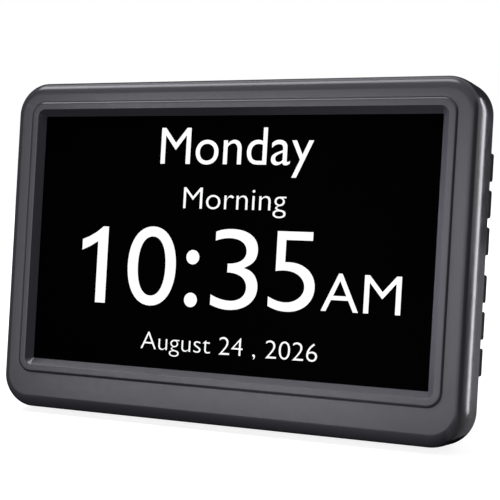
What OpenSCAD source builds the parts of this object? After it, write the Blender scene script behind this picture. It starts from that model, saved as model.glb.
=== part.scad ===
// Day clock: a seven-inch screen in a case that leans back on a fold-out leg.
// Each piece of the case is drawn upright and then leaned: x runs to the right, y from the
// front face into the case, and z up from the lower edge of the case. The leg is drawn
// hanging from its pin and then swung open.

/* [Screen] */
// Width of the window that the screen shows through
window_w = 152.6; // [127:0.1:184]
// Height of the window
window_h = 90; // [75:0.1:108]
// Corner radius of the window
window_corner_r = 0.4; // [0.2:0.1:1]
// How far the tray reaches past the window at each side
tray_border_x = 6.2; // [5:0.1:7.5]
// How far the tray reaches past the window above and below
tray_border_z = 4.8; // [4:0.1:5.8]
// Thickness of the tray's side walls
tray_wall = 0.8; // [0.5:0.1:1]
// Thickness of the tray's back plate
tray_plate = 0.6; // [0.4:0.1:1]
// Thickness of the screen glass
glass_t = 1.4; // [1:0.1:2]
// Thickness of the light guide
guide_t = 3.6; // [2.5:0.1:4.4]
// Thickness of the foam gasket in front of the glass
gasket_t = 0.3; // [0.2:0.1:0.6]
// Width of the gasket's strips
gasket_strip = 2.4; // [1.5:0.1:3]

/* [Front bezel] */
// Face left and right of the window
side_margin = 12.8; // [12:0.1:16]
// Face above the window
top_margin = 12.7; // [11.5:0.1:16]
// Face below the window
bottom_margin = 18.3; // [17:0.1:22]
// Depth of the bezel, from its face to the seam
bezel_depth = 15; // [12.5:0.1:18]
// Thickness of the face
face_wall = 2.2; // [1.8:0.1:2.6]
// Thickness of the bezel's side walls
side_wall = 2.5; // [2.2:0.1:3]
// Radius of the case's four corners
case_corner_r = 12; // [10:0.1:14.4]
// Radius of the rounded edge round the face
face_edge_r = 4.5; // [3.8:0.1:5.4]
// How far the lip stands out of the face
lip_rise = 0.54; // [0.3:0.02:0.8]
// Width of the lip's flat top
lip_flat = 1.65; // [1:0.05:2]
// Radius of the lip's outer edge
lip_edge_r = 1.15; // [1:0.05:1.4]
// Radius of the lip's corners
lip_corner_r = 5.2; // [4.3:0.1:6.2]
// Width of the bevel from the lip down to the screen
bevel_w = 2.4; // [2:0.05:2.6]

/* [Rear cover] */
// Depth of the cover behind the seam
rear_depth = 12; // [11.5:0.1:14.4]
// How far the cover is set in from the bezel's sides
rear_inset = 2; // [1.8:0.1:2.2]
// Thickness of the cover
rear_wall = 2; // [1.6:0.1:2.4]
// Radius of the rounded edge round the back
rear_edge_r = 6; // [5:0.1:6.5]
// How far the cover's tongue reaches into the bezel
tongue_len = 2.5; // [2:0.1:3]
// Radius of a wall keyhole's entry hole
keyhole_r = 4.2; // [3.6:0.1:5]
// Width of a wall keyhole's slot
keyhole_slot = 4.4; // [3.8:0.1:5]
// Distance from one wall keyhole to the other
keyhole_span = 90; // [75:1:108]
// Distance from the keyholes' entry down from the case's top
keyhole_drop = 33; // [30:0.5:36]

/* [Leg] */
// Angle that the case leans back by
lean = 7.77; // [6.5:0.01:9.3]
// Angle that the leg opens by
leg_open = 20; // [17:0.5:24]
// Distance of the leg's pin down from the case's top
hinge_drop = 29; // [25:0.5:34]
// Width of the leg
leg_w = 34; // [28:0.5:41]
// Width of the leg's foot
foot_w = 28; // [24:0.5:28]
// Thickness of the leg
leg_t = 4.2; // [3.8:0.1:4.8]
// Thickness of the leg's skin and ribs
leg_skin = 1.6; // [1.3:0.1:1.9]
// Diameter of the leg's pin
pin_d = 2.4; // [2:0.1:2.9]
// Length of the rubber boot along the leg
boot_len = 12; // [10:0.5:14.5]
// Thickness of the rubber boot
boot_t = 0.9; // [0.7:0.1:1.1]
// Distance of each rubber foot from the case's side
foot_pad_side = 15; // [13:0.5:20]
// Length of a rubber foot
foot_pad_len = 24; // [18:1:29]

/* [Buttons] */
// Length of a button
button_len = 9.2; // [7.6:0.1:11.1]
// Thickness of a button, from front to back
button_t = 3.6; // [3:0.1:3.8]
// Radius of a button's corners
button_corner_r = 0.7; // [0.5:0.1:1]
// How far a button stands out of the cover
button_stand = 1.73; // [1.4:0.01:2.1]
// How far a button travels
button_travel = 0.5; // [0.3:0.05:0.6]
// Space between buttons of one group
button_space = 3; // [2.5:0.1:3.6]
// Space between the two groups
group_space = 6.6; // [5:0.1:8]
// Distance of the buttons' middle behind the seam
button_y = 3; // [2.9:0.05:3.1]
// Length and width of a switch
switch_size = 6; // [5:0.1:6.6]
// Height of a switch
switch_h = 3.4; // [2.9:0.1:4]
// Diameter of a switch's plunger
plunger_d = 3.4; // [2.8:0.1:4]

/* [Electronics] */
// Thickness of the main board
board_t = 1.6; // [1.2:0.1:1.9]
// Distance from the main board's face to the back of the case
board_back = 13.8; // [13.5:0.1:14.2]
// Gap between the main board's left edge and the cover's wall
board_side = 7.1; // [6:0.1:8.5]
// Gap between the main board and the speaker
board_gap = 6; // [5:0.1:7.2]
// Distance of the power inlet from the board's left edge
inlet_in = 20; // [19:0.5:21]
// Height of the power inlet
inlet_z = 30; // [29:0.5:31]
// Diameter of the power inlet's socket
socket_d = 5.7; // [5.5:0.1:6]
// Diameter of the power inlet's contact pin
contact_d = 2; // [1.6:0.1:2.1]
// Diameter of the coin cell
cell_d = 20; // [16:0.5:20]
// Thickness of the coin cell
cell_t = 3.2; // [2.5:0.1:3.8]
// Diameter of the speaker
speaker_d = 28; // [24:0.5:30]
// Distance of the speaker's middle from the cover's wall
speaker_side = 27.1; // [26:0.1:28]
// Height of the speaker
speaker_z = 36; // [34:0.5:40]

/* [Fits] */
// Gap round pieces that slip together
slip_gap = 0.15; // [0.1:0.01:0.2]
// Radial gap between the leg and its pin, and round the plungers
running_gap = 0.06; // [0.03:0.01:0.09]
// Radial gap between a screw or a fixed pin and its hole
screw_gap = 0.03; // [0.02:0.01:0.05]
// Gap round a button
button_gap = 0.2; // [0.15:0.01:0.25]
// Gap between the leg and its bay
bay_gap = 0.5; // [0.4:0.05:0.7]

/* [Hidden] */
$fn = 48;
eps = 0.01;
far = 500;

// Case
case_w = window_w + 2 * side_margin;
case_h = bottom_margin + window_h + top_margin;
case_d = bezel_depth + rear_depth;
window_z = bottom_margin + window_h / 2;
table_gap = 0.3;
lift = bezel_depth * sin(lean) + table_gap;

// Screen stack, from the front
glass_y = face_wall + gasket_t;
guide_y = glass_y + glass_t;
plate_y = guide_y + guide_t;
tray_back = plate_y + tray_plate;
rim_set = 0.5;
rim_y = face_wall + rim_set;
tray_w = window_w + 2 * tray_border_x;
tray_h = window_h + 2 * tray_border_z;
tray_low = window_z - tray_h / 2;
tray_top = window_z + tray_h / 2;
glass_w = tray_w - 2 * tray_wall - 2 * slip_gap;
glass_h = tray_h - 2 * tray_wall - 2 * slip_gap;
gasket_set = 0.6;
gasket_hole_w = window_w + 2 * gasket_set;
gasket_hole_h = window_h + 2 * gasket_set;
gasket_w = gasket_hole_w + 2 * gasket_strip;
gasket_h = gasket_hole_h + 2 * gasket_strip;
stiffener_h = 4;
ribbon_w = 22;
ribbon_t = 0.3;
ribbon_x = -6;

// Rear cover
rear_w = case_w - 2 * rear_inset;
rear_h = case_h - 2 * rear_inset;
rear_corner_r = case_corner_r - rear_inset;
back_in = case_d - rear_wall;
inner_x = rear_w / 2 - rear_wall;
tongue_y = bezel_depth - tongue_len;
tongue_w = case_w - 2 * side_wall - 2 * slip_gap;
tongue_h = case_h - 2 * side_wall - 2 * slip_gap;
tongue_corner_r = case_corner_r - side_wall - slip_gap;
keyhole_z = case_h - keyhole_drop;
keyhole_lift = 8;
pocket_d = 4.5;
pocket_wall = 1.2;
pocket_side = keyhole_r + 1;
pocket_low = keyhole_z - pocket_side;
pocket_top = keyhole_z + keyhole_lift + pocket_side;

// Rating label, left bare, in a shallow recess
label_w = 40;
label_h = 22;
label_x = -24 - label_w;
label_z = 46;
label_sink = 0.3;
label_t = 0.2;
label_gap = 0.5;

// Vents and speaker grille
grille_slot = 1.5;
grille_pitch = 3;
vent_w = 1.6;
vent_h = 6;
vent_pitch = 4;
vent_in = 30;
vent_drop = 17.5;

// Case screws
screw_side = 17.1;
screw_in = 30;
screw_x = [screw_side - case_w / 2, -screw_in, screw_in, case_w / 2 - screw_side];
screw_drop = 5.3;
screw_z = tray_low - screw_drop;
screw_r = 1.1;
screw_head_r = 2.6;
screw_head_t = 1.6;
screw_bite = 7;
well_r = screw_head_r + 0.6;
well_wall = 1.4;
well_floor = 1.6;
hole_spare = 0.6;
pass_gap = 0.2;
boss_r = 3;
boss_set = 2;
joint_y = bezel_depth - boss_set;

// Screen clips, along the lower edge, and hooks, along the upper edge
clip_side = 31.5;
clip_x = [clip_side - tray_w / 2, 0, tray_w / 2 - clip_side];
clip_w = 9;
clip_t = 0.8;
clip_over = 3.5;
clip_lip = 2.4;
clip_screw_r = 1;
clip_bite = 5;
clip_head_r = 2.2;
clip_head_t = 1.4;
hook_side = 27.5;
hook_x = [hook_side - tray_w / 2, 0, tray_w / 2 - hook_side];
hook_w = 10;
hook_t = 2;
hook_over = 2.5;
hook_gap = 0.2;
hook_y = tray_back + hook_gap;
rib_t = 3;

// Leg. Its own frame has the pin at its origin, and y out of the back of the case.
leg_out = 2.6;
leg_in = leg_t - leg_out;
hinge_y = case_d - leg_out;
hinge_z = case_h - hinge_drop;
pin_r = pin_d / 2;
leg_tilt = leg_open - lean;
pin_rise = lift + hinge_z * cos(lean) - hinge_y * sin(lean);
leg_reach = pin_rise / cos(leg_tilt);
core_end = leg_reach - 2;
boot_top = core_end + boot_t + 1 - boot_len;
shoulder = 12;
heel_h = 7;
bay_floor = hinge_y - leg_in - 0.3;
stop_floor = hinge_y - leg_in - 1.6;
stop_gap = 0.02;
bay_w = leg_w + 2 * bay_gap;
bay_top = hinge_z + heel_h + 1.2;
stop_low = hinge_z - 6;
bay_wall = 1.6;
ear_t = 3;
rib_count = 6;
rib_side = 2.4;
rib_span = (boot_top - shoulder - 2) / rib_count;

// The leg's rear corner on the table is the furthest back, and the rounded lower edge of
// the face is the furthest forward. The origin lies midway between them.
pin_back = hinge_y * cos(lean) + hinge_z * sin(lean);
rear_most = pin_back + leg_out * cos(leg_tilt)
    + (pin_rise + leg_out * sin(leg_tilt)) * tan(leg_tilt);
front_most = face_edge_r * (cos(lean) + sin(lean) - 1);
middle = (rear_most + front_most) / 2;

// Rubber feet under the bezel
pad_back = bezel_depth - 0.3;
pad_depth = 3.5;
pad_sink = 0.5;
foot_pad_x = case_w / 2 - foot_pad_side - foot_pad_len / 2;

// Buttons, from the top down
button_pitch = button_len + button_space;
group_pitch = button_len + group_space;
button_offsets = [
    for (s = [1, -1], k = [0, 1, 2])
        s * group_pitch / 2 + (s > 0 ? 2 - k : -k) * button_pitch
];
button_mid_y = bezel_depth + button_y;
button_mid_z = case_h / 2;
flange_t = 1.5;
flange_over = 0.8;
flange_x = inner_x - 0.05;
plunger_tip = flange_x - flange_t;
plunger_r = plunger_d / 2;
switch_x = plunger_tip - button_travel - 0.3;
strip_t = 1.2;
strip_x = switch_x - switch_h - strip_t;
strip_w = 9.2;
strip_half = button_offsets[0] + 12;
switch_floor = 0.6;
guide_len = 5;
guide_side = 1.6;
guide_end = 1.5;

// Main board
board_y = case_d - board_back;
board_rear = board_y + board_t;
speaker_x = inner_x - speaker_side;
board_x0 = board_side - inner_x;
board_x1 = speaker_x - speaker_d / 2 - board_gap;
board_w = board_x1 - board_x0;
inlet_x = board_x0 + inlet_in;
board_z0 = 22;
board_z1 = pocket_low - pocket_wall - 1;
post_r = 3;
post_in = 4.5;
post_places = [
    for (x = [board_x0 + post_in, board_x1 - post_in])
        for (z = [board_z0 + post_in, board_z1 - post_in])
            [x, z]
];
board_screw_r = 1;
board_bite = 6;
board_head_r = 2.2;
board_head_t = 1.2;
cell_x = -44;
cell_z = board_z0 + 28;
holder_wall = 1.4;
holder_floor = 0.8;
cable_z = board_z0 + 22;
cable_w = 6;
cable_t = 0.4;
socket_h = 2.5;
socket_l = 4;
socket_in = 3;
wire_r = 0.6;
wire_pitch = 1.8;
wire_z = board_z0 + 33;
wire_bend = 5;

// Power inlet
inlet_block = 9.4;
nose_r = socket_d / 2 + 1;
inlet_face = case_d - 0.2;
inlet_floor = board_rear + 2;

// Speaker
speaker_r = speaker_d / 2;
gasket_foam_t = 0.4;
basket_y = back_in - gasket_foam_t;
basket_depth = 6;
magnet_r = speaker_r * 4 / 7;
magnet_t = 4.5;
surround_r = speaker_r - 2.5;
ring_h = 3.5;
ring_wall = 1.4;

charcoal = [0.29, 0.29, 0.31];
soft_black = [0.06, 0.06, 0.065];
steel = [0.72, 0.73, 0.74];
board_green = [0.05, 0.3, 0.16];

// ---------------------------------------------------------------- places

// Leans the upright case back and sets it on the table.
module leaned() {
    translate([0, -middle, lift])
        rotate([-lean, 0, 0])
            children();
}

// Swings the leg, drawn hanging from its pin, to its open place.
module swung() {
    leaned()
        translate([0, hinge_y, hinge_z])
            rotate([leg_open, 0, 0])
                children();
}

// Turns what is drawn along z so that it runs along y.
module along_y() {
    rotate([-90, 0, 0]) children();
}

// Turns what is drawn along z so that it runs along x.
module along_x() {
    rotate([0, 90, 0]) children();
}

module rod_y(r, length) {
    along_y() cylinder(r = r, h = length);
}

module rod_x(r, length) {
    along_x() cylinder(r = r, h = length);
}

// ---------------------------------------------------------------- rounded forms

// Section of a slab: x is centred, y runs from the rounded front edge to the back.
module slab_section(w, depth, edge) {
    translate([-w / 2, edge]) square([w, depth - edge]);
    if (edge > 0) {
        translate([edge - w / 2, 0]) square([w - 2 * edge, depth]);
        for (s = [-1, 1])
            translate([s * (w / 2 - edge), edge]) circle(edge);
    }
}

// Half of that section, turned about an axis, is the slab's corner.
module corner_section(r, depth, edge) {
    intersection() {
        slab_section(2 * r, depth, edge);
        square([r, depth]);
    }
}

// Slab with round corners and, where edge is set, a rounded front edge. It stands on z = 0.
module slab(w, h, depth, corner, edge = 0) {
    translate([0, 0, corner])
        linear_extrude(h - 2 * corner) slab_section(w, depth, edge);
    translate([corner - w / 2, 0, h / 2])
        along_x() linear_extrude(w - 2 * corner) slab_section(h, depth, edge);
    for (x = [corner - w / 2, w / 2 - corner], z = [corner, h - corner])
        translate([x, 0, z])
            along_y() rotate_extrude() corner_section(corner, depth, edge);
}

// The same slab with its rounded edge at the back, at y = depth.
module slab_back(w, h, depth, corner, edge) {
    translate([0, depth, 0])
        mirror([0, 1, 0]) slab(w, h, depth, corner, edge);
}

// Opening that narrows from front to back at 45 degrees, to w by h.
module flare(w, h, corner, depth) {
    x = w / 2;
    z = h / 2;
    translate([0, 0, corner])
        linear_extrude(h - 2 * corner)
            polygon([[-x - depth, 0], [x + depth, 0], [x, depth], [-x, depth]]);
    translate([corner - x, 0, z])
        along_x() linear_extrude(w - 2 * corner)
            polygon([[-z - depth, 0], [z + depth, 0], [z, depth], [-z, depth]]);
    for (cx = [corner - x, x - corner], cz = [corner, h - corner])
        translate([cx, 0, cz])
            along_y() cylinder(r1 = corner + depth, r2 = corner, h = depth);
}

// ---------------------------------------------------------------- front

module front_shell() {
    lip_w = window_w + 2 * (bevel_w + lip_flat + lip_edge_r);
    lip_h = window_h + 2 * (bevel_w + lip_flat + lip_edge_r);
    difference() {
        union() {
            slab(case_w, case_h, bezel_depth, case_corner_r, face_edge_r);
            translate([0, -lip_rise, window_z - lip_h / 2])
                slab(lip_w, lip_h, lip_rise + lip_edge_r, lip_corner_r, lip_edge_r);
        }
        translate([0, face_wall, side_wall])
            slab(
                case_w - 2 * side_wall, case_h - 2 * side_wall, bezel_depth,
                case_corner_r - side_wall
            );
        translate([0, -lip_rise - 0.2, window_z - window_h / 2])
            flare(window_w, window_h, window_corner_r, bevel_w + 0.2);
        translate([0, bevel_w - lip_rise - eps, window_z - window_h / 2])
            slab(window_w, window_h, face_wall, window_corner_r);
        for (x = [-foot_pad_x, foot_pad_x])
            translate([x - foot_pad_len / 2, pad_back - pad_depth, -eps])
                cube([foot_pad_len, pad_depth, pad_sink + eps]);
    }
}

// Posts for the case screws and, shorter, for the clip screws.
module bezel_posts() {
    for (x = screw_x)
        translate([x, face_wall - eps, screw_z])
            rod_y(boss_r, joint_y - face_wall + eps);
    for (x = clip_x)
        translate([x, face_wall - eps, screw_z])
            rod_y(boss_r, tray_back - face_wall + eps);
}

// Hooks that the screen tray's upper edge is tucked under.
module bezel_hooks() {
    wall_z = case_h - side_wall;
    for (x = hook_x) {
        translate([x - hook_w / 2, face_wall - eps, tray_top + 2 * slip_gap])
            cube([hook_w, hook_y + hook_t - face_wall, wall_z - tray_top]);
        translate([x - hook_w / 2, hook_y, tray_top - hook_over])
            cube([hook_w, hook_t - eps, wall_z - tray_top + hook_over]);
    }
}

// Ribs that centre the screen tray between the side walls.
module bezel_ribs() {
    gap_x = case_w / 2 - side_wall - tray_w / 2;
    for (s = [-1, 1], z = [window_z - window_h / 3, window_z + window_h / 3])
        translate([s * (tray_w / 2 + slip_gap + gap_x / 2), tray_back / 2, z])
            cube([gap_x, tray_back, rib_t], center = true);
}

module front_bezel() {
    color(charcoal) leaned()
        difference() {
            union() {
                front_shell();
                intersection() {
                    union() {
                        bezel_posts();
                        bezel_hooks();
                        bezel_ribs();
                    }
                    translate([0, face_wall - eps, side_wall / 2])
                        slab(
                            case_w - side_wall, case_h - side_wall, bezel_depth,
                            case_corner_r - side_wall / 2
                        );
                }
            }
            for (x = screw_x)
                translate([x, joint_y - screw_bite - hole_spare, screw_z])
                    rod_y(screw_r + screw_gap, screw_bite + hole_spare + eps);
            for (x = clip_x)
                translate([x, tray_back - clip_bite - hole_spare, screw_z])
                    rod_y(clip_screw_r + screw_gap, clip_bite + hole_spare + eps);
        }
}

module screen_gasket() {
    color([0.1, 0.1, 0.1]) leaned()
        difference() {
            translate([0, face_wall, window_z - gasket_h / 2])
                slab(gasket_w, gasket_h, gasket_t, 1);
            translate([0, face_wall - eps, window_z - gasket_hole_h / 2])
                slab(gasket_hole_w, gasket_hole_h, gasket_t + 2 * eps, gasket_set);
        }
}

module screen_glass() {
    color(soft_black) leaned()
        translate([0, glass_y, window_z - glass_h / 2])
            slab(glass_w, glass_h, glass_t, 0.5);
}

module light_guide() {
    color([0.95, 0.95, 0.93]) leaned()
        translate([0, guide_y, window_z - glass_h / 2])
            slab(glass_w, glass_h, guide_t, 0.5);
}

module screen_tray() {
    color(steel) leaned()
        difference() {
            union() {
                translate([0, rim_y, tray_low])
                    slab(tray_w, tray_h, tray_back - rim_y, 1.2);
                // stamped stiffening ribs on the back plate
                for (s = [-1, 1])
                    translate([
                        -tray_w / 3,
                        tray_back - eps,
                        window_z + s * tray_h * 0.3 - stiffener_h / 2
                    ])
                        cube([tray_w * 2 / 3, tray_plate, stiffener_h]);
            }
            translate([0, rim_y - eps, tray_low + tray_wall])
                slab(
                    tray_w - 2 * tray_wall, tray_h - 2 * tray_wall,
                    plate_y - rim_y + eps, 0.5
                );
        }
}

// Flat strip whose middle line goes from [x0, y0] to [x1, y1] in one soft bend.
function bend_line(x0, y0, x1, y1, steps) = [
    for (i = [0:steps])
        let (t = i / steps)
            [x0 + (x1 - x0) * t, y0 + (y1 - y0) * (1 - cos(180 * t)) / 2]
];

module bent_strip(x0, y0, x1, y1, thick) {
    line = bend_line(x0, y0, x1, y1, 16);
    back = [for (i = [len(line) - 1:-1:0]) line[i] + [0, thick]];
    polygon(concat(line, back));
}

// From the tray's back plate up to its socket on the board's front.
module screen_ribbon() {
    low_z = board_z0 - 6;
    bend_z = low_z + 3;
    color([0.85, 0.55, 0.15]) leaned()
        translate([ribbon_x - ribbon_w / 2, 0, 0])
            rotate([90, 0, 90])
                linear_extrude(ribbon_w)
                    mirror([1, -1]) {
                        translate([low_z, tray_back])
                            square([bend_z - low_z + eps, ribbon_t]);
                        bent_strip(
                            bend_z, tray_back, board_z0 + socket_in, board_y - 1.2, ribbon_t
                        );
                    }
}

module screen_clips() {
    color(steel) leaned()
        for (x = clip_x)
            difference() {
                union() {
                    translate([x - clip_w / 2, tray_back, screw_z - boss_r])
                        cube([clip_w, clip_t, screw_drop + clip_over]);
                    translate([x - clip_w / 2, tray_back, screw_z - boss_r])
                        cube([clip_w, clip_lip, clip_t]);
                }
                translate([x, tray_back - eps, screw_z])
                    rod_y(clip_screw_r + pass_gap, clip_t + 2 * eps);
            }
}

// Pan-head screw along y: the head's seat is at y = 0 and the shank runs to y = -length.
module screw(shank_r, length, head_r, head_t) {
    drive_w = head_r * 1.1;
    drive_t = 0.5;
    difference() {
        union() {
            translate([0, -length, 0]) rod_y(shank_r, length + eps);
            rod_y(head_r, head_t / 2);
            translate([0, head_t / 2 - eps, 0])
                along_y() cylinder(r1 = head_r, r2 = head_r * 0.75, h = head_t / 2);
        }
        for (a = [0, 90])
            rotate([0, a, 0])
                translate([-drive_w / 2, head_t * 0.4, -drive_t / 2])
                    cube([drive_w, head_t, drive_t]);
    }
}

module clip_screws() {
    color(steel) leaned()
        for (x = clip_x)
            translate([x, tray_back + clip_t, screw_z])
                screw(clip_screw_r, clip_t + clip_bite, clip_head_r, clip_head_t);
}

// ---------------------------------------------------------------- boards

module main_board() {
    color(board_green) leaned()
        difference() {
            translate([(board_x0 + board_x1) / 2, board_y, board_z0])
                slab(board_w, board_z1 - board_z0, board_t, 2);
            for (p = post_places)
                translate([p[0], board_y - eps, p[1]])
                    rod_y(board_screw_r + pass_gap, board_t + 2 * eps);
        }
}

module board_screws() {
    color(steel) leaned()
        for (p = post_places)
            translate([p[0], board_y, p[1]])
                mirror([0, 1, 0])
                    screw(board_screw_r, board_t + board_bite, board_head_r, board_head_t);
}

// Chip with its rows of legs, standing on y = 0 and facing -y.
module chip(w, h, thick) {
    leg = 0.8;
    leg_t = 0.4;
    translate([-w / 2, -thick, -h / 2]) cube([w, thick - 0.1, h]);
    translate([-w / 2 - leg, -leg_t, -h / 2 + leg]) cube([w + 2 * leg, leg_t, h - 2 * leg]);
    translate([-w / 2 + leg, -leg_t, -h / 2 - leg]) cube([w - 2 * leg, leg_t, h + 2 * leg]);
}

module processor() {
    color([0.08, 0.08, 0.09]) leaned()
        translate([-38, board_y, board_z0 + 20]) chip(14, 14, 1.4);
}

module memory_chip() {
    color([0.08, 0.08, 0.09]) leaned()
        translate([14, board_y, board_z0 + 24]) chip(10, 8, 1.2);
}

// Two round cans on square bases.
module capacitors() {
    can_r = 3.15;
    can_h = 4.6;
    base_t = 0.8;
    base_w = 2 * can_r + 0.3;
    color([0.55, 0.57, 0.6]) leaned()
        for (k = [0, 1])
            translate([board_x1 - 12, board_rear, board_z0 + 10 + 9 * k]) {
                translate([-base_w / 2, 0, -base_w / 2]) cube([base_w, base_t, base_w]);
                translate([0, base_t - eps, 0]) rod_y(can_r, can_h);
            }
}

module inductor() {
    color([0.2, 0.2, 0.22]) leaned()
        translate([-28, board_rear, board_z0 + 8])
            difference() {
                translate([0, 0, -4]) slab(8, 8, 3.6, 1.6);
                translate([0, 3, 0]) rod_y(2.4, 1);
            }
}

module crystal() {
    color([0.8, 0.8, 0.78]) leaned()
        translate([-14, board_y - 3.4, board_z0 + 19]) slab(10, 4.2, 3.4, 2);
}

// Sockets for the two ribbons and the speaker's wires.
module board_sockets() {
    wide = ribbon_w + 2;
    cable_h = cable_w + 2;
    wire_h = 2 * wire_pitch + 1.4;
    edge_x = board_x1 - socket_l;
    color([0.9, 0.88, 0.82]) leaned() {
        translate([ribbon_x - wide / 2, board_y - 2, board_z0 + socket_in])
            cube([wide, 2, socket_l]);
        translate([edge_x, board_y - socket_h, cable_z - cable_h / 2])
            cube([socket_l, socket_h, cable_h]);
        translate([edge_x, board_rear, wire_z - wire_h / 2])
            cube([socket_l, socket_h, wire_h]);
        translate([strip_x - socket_h, button_mid_y - strip_w / 2, cable_z - cable_h / 2])
            cube([socket_h, socket_l, cable_h]);
    }
}

module cell_holder() {
    color([0.12, 0.12, 0.13]) leaned()
        translate([cell_x, board_rear, cell_z])
            difference() {
                rod_y(cell_d / 2 + holder_wall, cell_t + holder_floor);
                translate([0, holder_floor, 0]) rod_y(cell_d / 2 + slip_gap, far);
                translate([-far / 2, holder_floor, cell_d / 4]) cube(far);
            }
}

module coin_cell() {
    color([0.8, 0.81, 0.82]) leaned()
        translate([cell_x, board_rear + holder_floor, cell_z]) {
            rod_y(cell_d / 2 - 1, cell_t);
            translate([0, 0.4, 0]) rod_y(cell_d / 2, cell_t - 0.4);
        }
}

// A block on the board with a round nose through the rear cover.
module power_inlet() {
    color(soft_black) leaned()
        translate([inlet_x, 0, inlet_z])
            difference() {
                union() {
                    translate([-inlet_block / 2, board_rear, -inlet_block / 2])
                        cube([inlet_block, back_in - board_rear, inlet_block]);
                    translate([0, back_in - eps, 0])
                        rod_y(nose_r, inlet_face - back_in + eps);
                }
                translate([0, inlet_floor, 0]) rod_y(socket_d / 2, far);
            }
}

module inlet_contact() {
    color([0.85, 0.7, 0.35]) leaned()
        translate([inlet_x, inlet_floor, inlet_z])
            rod_y(contact_d / 2, inlet_face - inlet_floor - 0.6);
}

// ---------------------------------------------------------------- buttons

module button_board() {
    color(board_green) leaned()
        translate([strip_x, button_mid_y - strip_w / 2, button_mid_z - strip_half])
            cube([strip_t, strip_w, 2 * strip_half]);
}

module button_switches() {
    color([0.15, 0.15, 0.16]) leaned()
        for (dz = button_offsets)
            translate([strip_x + strip_t, button_mid_y, button_mid_z + dz])
                difference() {
                    translate([switch_h / 2, 0, 0])
                        cube([switch_h, switch_size, switch_size], center = true);
                    translate([switch_floor, 0, 0]) rod_x(plunger_r + running_gap, switch_h);
                }
}

module plunger(k) {
    tail = strip_x + strip_t + switch_floor + button_travel + 0.1;
    color([0.75, 0.72, 0.66]) leaned()
        translate([tail, button_mid_y, button_mid_z + button_offsets[k]])
            rod_x(plunger_r, plunger_tip - tail);
}

// Bar along x with a button's outline, or that outline grown by gap.
module button_bar(length, gap = 0) {
    t = button_t / 2 + gap;
    l = button_len / 2 + gap;
    r = button_corner_r + gap;
    along_x() linear_extrude(length) {
        square([2 * (l - r), 2 * t], center = true);
        square([2 * l, 2 * (t - r)], center = true);
        for (a = [r - l, l - r], b = [r - t, t - r])
            translate([a, b]) circle(r);
    }
}

module button(k) {
    tip = rear_w / 2 + button_stand;
    color(soft_black) leaned()
        translate([0, button_mid_y, button_mid_z + button_offsets[k]]) {
            translate([plunger_tip, -button_t / 2 - flange_over, -button_len / 2 - flange_over])
                cube([flange_t, button_t + 2 * flange_over, button_len + 2 * flange_over]);
            translate([plunger_tip, 0, 0]) button_bar(tip - plunger_tip);
        }
}

// Straight past the speaker's magnet, then back to the button board's socket.
module button_ribbon() {
    y_main = board_y - socket_h / 2;
    y_strip = button_mid_y - strip_w / 2 + 1.5;
    bend_x = speaker_x + magnet_r + 1;
    color([0.85, 0.55, 0.15]) leaned()
        translate([0, 0, cable_z - cable_w / 2])
            linear_extrude(cable_w) {
                translate([board_x1, y_main]) square([bend_x - board_x1 + eps, cable_t]);
                bent_strip(bend_x, y_main, strip_x - socket_h, y_strip, cable_t);
            }
}

// ---------------------------------------------------------------- speaker

module at_speaker(y) {
    leaned() translate([speaker_x, y, speaker_z]) children();
}

module speaker_gasket() {
    color([0.1, 0.1, 0.1]) at_speaker(basket_y)
        difference() {
            rod_y(speaker_r, gasket_foam_t);
            translate([0, -eps, 0]) rod_y(surround_r, gasket_foam_t + 2 * eps);
        }
}

module speaker_basket() {
    r = speaker_r;
    b = magnet_r;
    color([0.5, 0.51, 0.53]) at_speaker(basket_y - basket_depth) {
        along_y()
            rotate_extrude()
                polygon([
                    [0, 0], [b, 0], [r - 1.2, basket_depth - 0.8], [r, basket_depth - 0.8],
                    [r, basket_depth], [surround_r, basket_depth],
                    [surround_r, basket_depth - 0.8], [b - 0.6, 0.8], [0, 0.8]
                ]);
        // terminal tab for the wires
        translate([-9, -3.5, r * 0.55]) cube([6, 5, r * 0.33]);
    }
}

module speaker_cone() {
    color([0.14, 0.14, 0.15]) at_speaker(basket_y - basket_depth)
        along_y()
            rotate_extrude()
                polygon([
                    [0, 2.6], [3, 2], [surround_r - 2, basket_depth - 0.9],
                    [surround_r, basket_depth - 0.5], [surround_r, basket_depth],
                    [surround_r - 2.3, basket_depth - 0.4], [3.2, 2.6], [0, 3.2]
                ]);
}

module speaker_magnet() {
    color([0.3, 0.3, 0.32]) at_speaker(basket_y - basket_depth - magnet_t)
        difference() {
            rod_y(magnet_r, magnet_t);
            translate([0, -eps, 0]) rod_y(2, 1);
        }
}

// Each wire leaves the board's socket sideways, turns down and meets the speaker's tab.
module speaker_wires() {
    y = board_rear + socket_h / 2;
    tab_top = speaker_z + speaker_r * 0.88;
    tab_x = speaker_x - 6;
    color([0.7, 0.1, 0.08]) leaned()
        for (k = [0, 1]) {
            bend = wire_bend + k * wire_pitch;
            x = tab_x + (k - 0.5) * wire_pitch;
            z = wire_z + (k - 0.5) * wire_pitch;
            translate([board_x1, y, z]) rod_x(wire_r, x - bend - board_x1);
            translate([x - bend, y, z - bend])
                rotate([90, 0, 0])
                    rotate_extrude(angle = 90)
                        translate([bend, 0]) circle(wire_r);
            translate([x, y, tab_top]) cylinder(r = wire_r, h = z - bend - tab_top);
        }
}

// ---------------------------------------------------------------- rear cover

module rear_outline() {
    translate([0, bezel_depth, rear_inset])
        slab_back(rear_w, rear_h, rear_depth, rear_corner_r, rear_edge_r);
    translate([0, tongue_y, side_wall + slip_gap])
        slab(tongue_w, tongue_h, tongue_len + rear_edge_r / 2, tongue_corner_r);
}

module rear_hollow() {
    translate([0, tongue_y - 1, rear_inset + rear_wall])
        slab_back(
            rear_w - 2 * rear_wall, rear_h - 2 * rear_wall, back_in - tongue_y + 1,
            rear_corner_r - rear_wall, rear_edge_r - rear_wall
        );
}

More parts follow.
